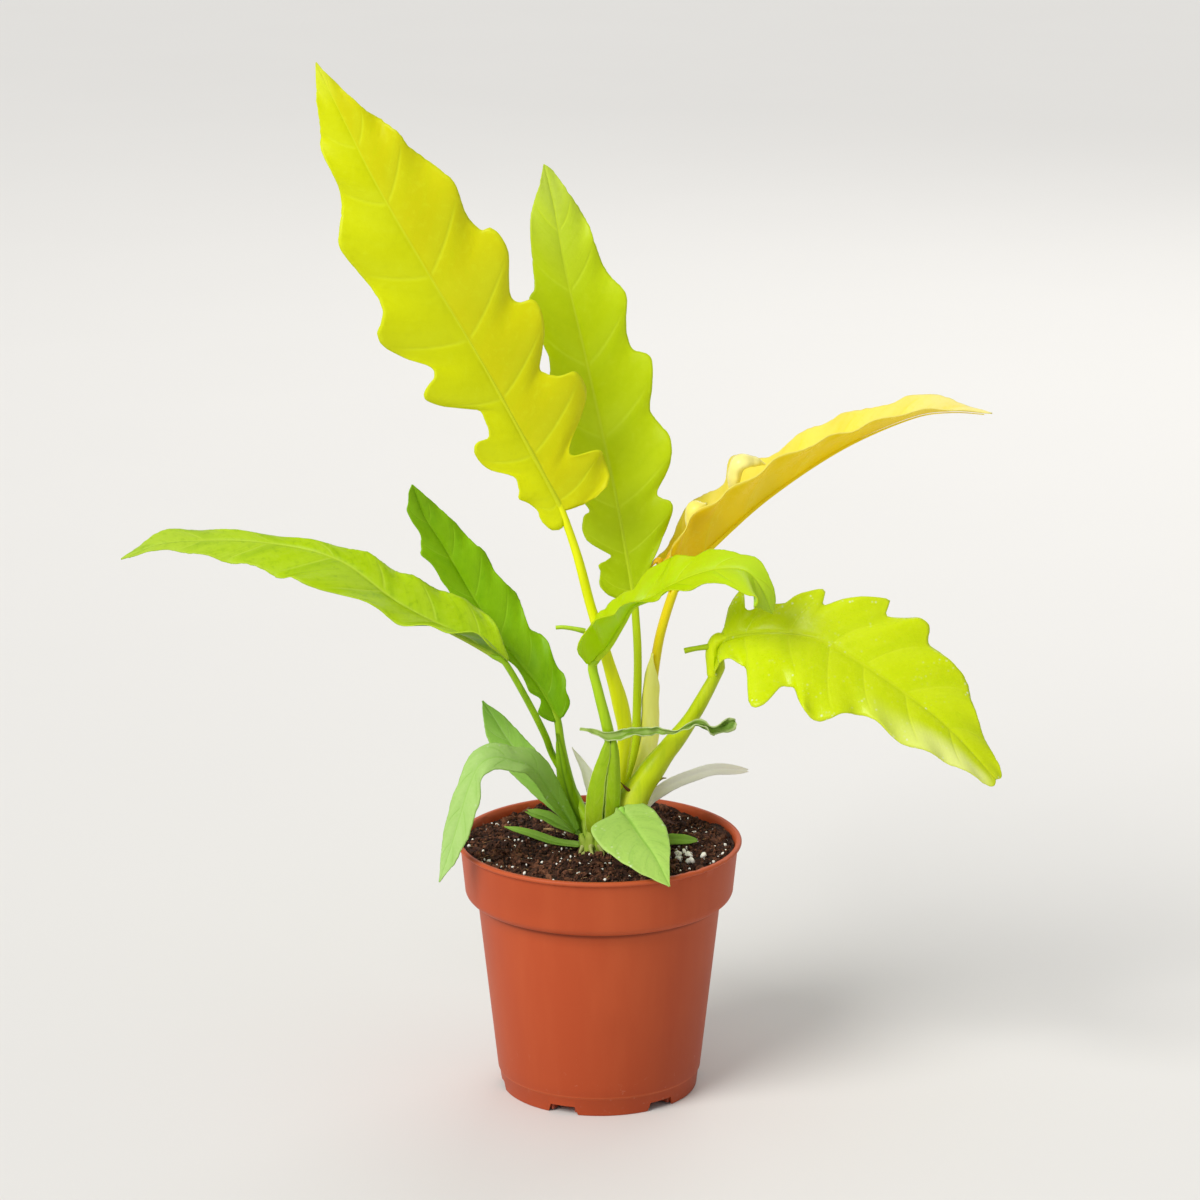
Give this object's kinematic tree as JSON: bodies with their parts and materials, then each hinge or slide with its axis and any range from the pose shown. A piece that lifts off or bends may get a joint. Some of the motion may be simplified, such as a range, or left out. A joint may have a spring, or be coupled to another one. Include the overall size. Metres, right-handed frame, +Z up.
{
  "type": "potted philodendron",
  "caption": "Young philodendron with lobed golden and lime leaves on a short crown, planted in a round moulded nursery pot of potting mix.",
  "frame": {"origin": "centre of the flat floor under the pot, level with its foot ring", "axes": "+Z up along the pot's axis, -Y towards the side seen in the picture, +X to that view's right"},
  "size_m": [0.3213, 0.1079, 0.3837],
  "materials": {
    "pot_plastic": "satin moulded terracotta colour",
    "potting_mix": "coarse damp bark and peat with perlite",
    "crown": "satin",
    "leaf_gold": "satin",
    "leaf_lime": "satin",
    "leaf_amber": "satin",
    "leaf_fresh": "satin",
    "leaf_deep": "satin",
    "leaf_pale": "matte",
    "leaf_withered": "matte, wrinkled",
    "stalk_gold": "satin",
    "stalk_lime": "satin",
    "stalk_amber": "satin",
    "stalk_green": "satin",
    "sheath_cream": "satin",
    "sheath_green": "satin",
    "husk": "dry, translucent",
    "dry_scale": "dry"
  },
  "bodies": {
    "root": {"nursery_pot": "pot_plastic", "potting_mix": "potting_mix", "crown": "crown", "gold_leaf": "leaf_gold", "gold_stalk": "stalk_gold", "tall_leaf": "leaf_lime", "tall_stalk": "stalk_lime", "amber_leaf": "leaf_amber", "amber_stalk": "stalk_amber", "amber_sheath": "sheath_cream", "arching_leaf": "leaf_fresh", "arching_stalk": "stalk_green", "lime_leaf": "leaf_lime", "lime_stalk": "stalk_lime", "long_leaf": "leaf_fresh", "long_stalk": "stalk_green", "green_leaf": "leaf_deep", "green_stalk": "stalk_green", "green_wing": "stalk_green", "lance_leaf": "leaf_deep", "hanging_leaf": "leaf_pale", "rim_leaf": "leaf_pale", "rim_stalk": "leaf_pale", "withered_leaf": "leaf_withered", "front_sheath_left": "sheath_green", "front_sheath_right": "sheath_green", "pale_husk_right": "husk", "pale_husk_left": "husk", "low_leaf_left": "leaf_deep", "low_leaf_back": "leaf_deep", "low_leaf_right": "leaf_deep", "dry_scale_front": "dry_scale", "dry_scale_back": "dry_scale"}
  },
  "joints": []
}
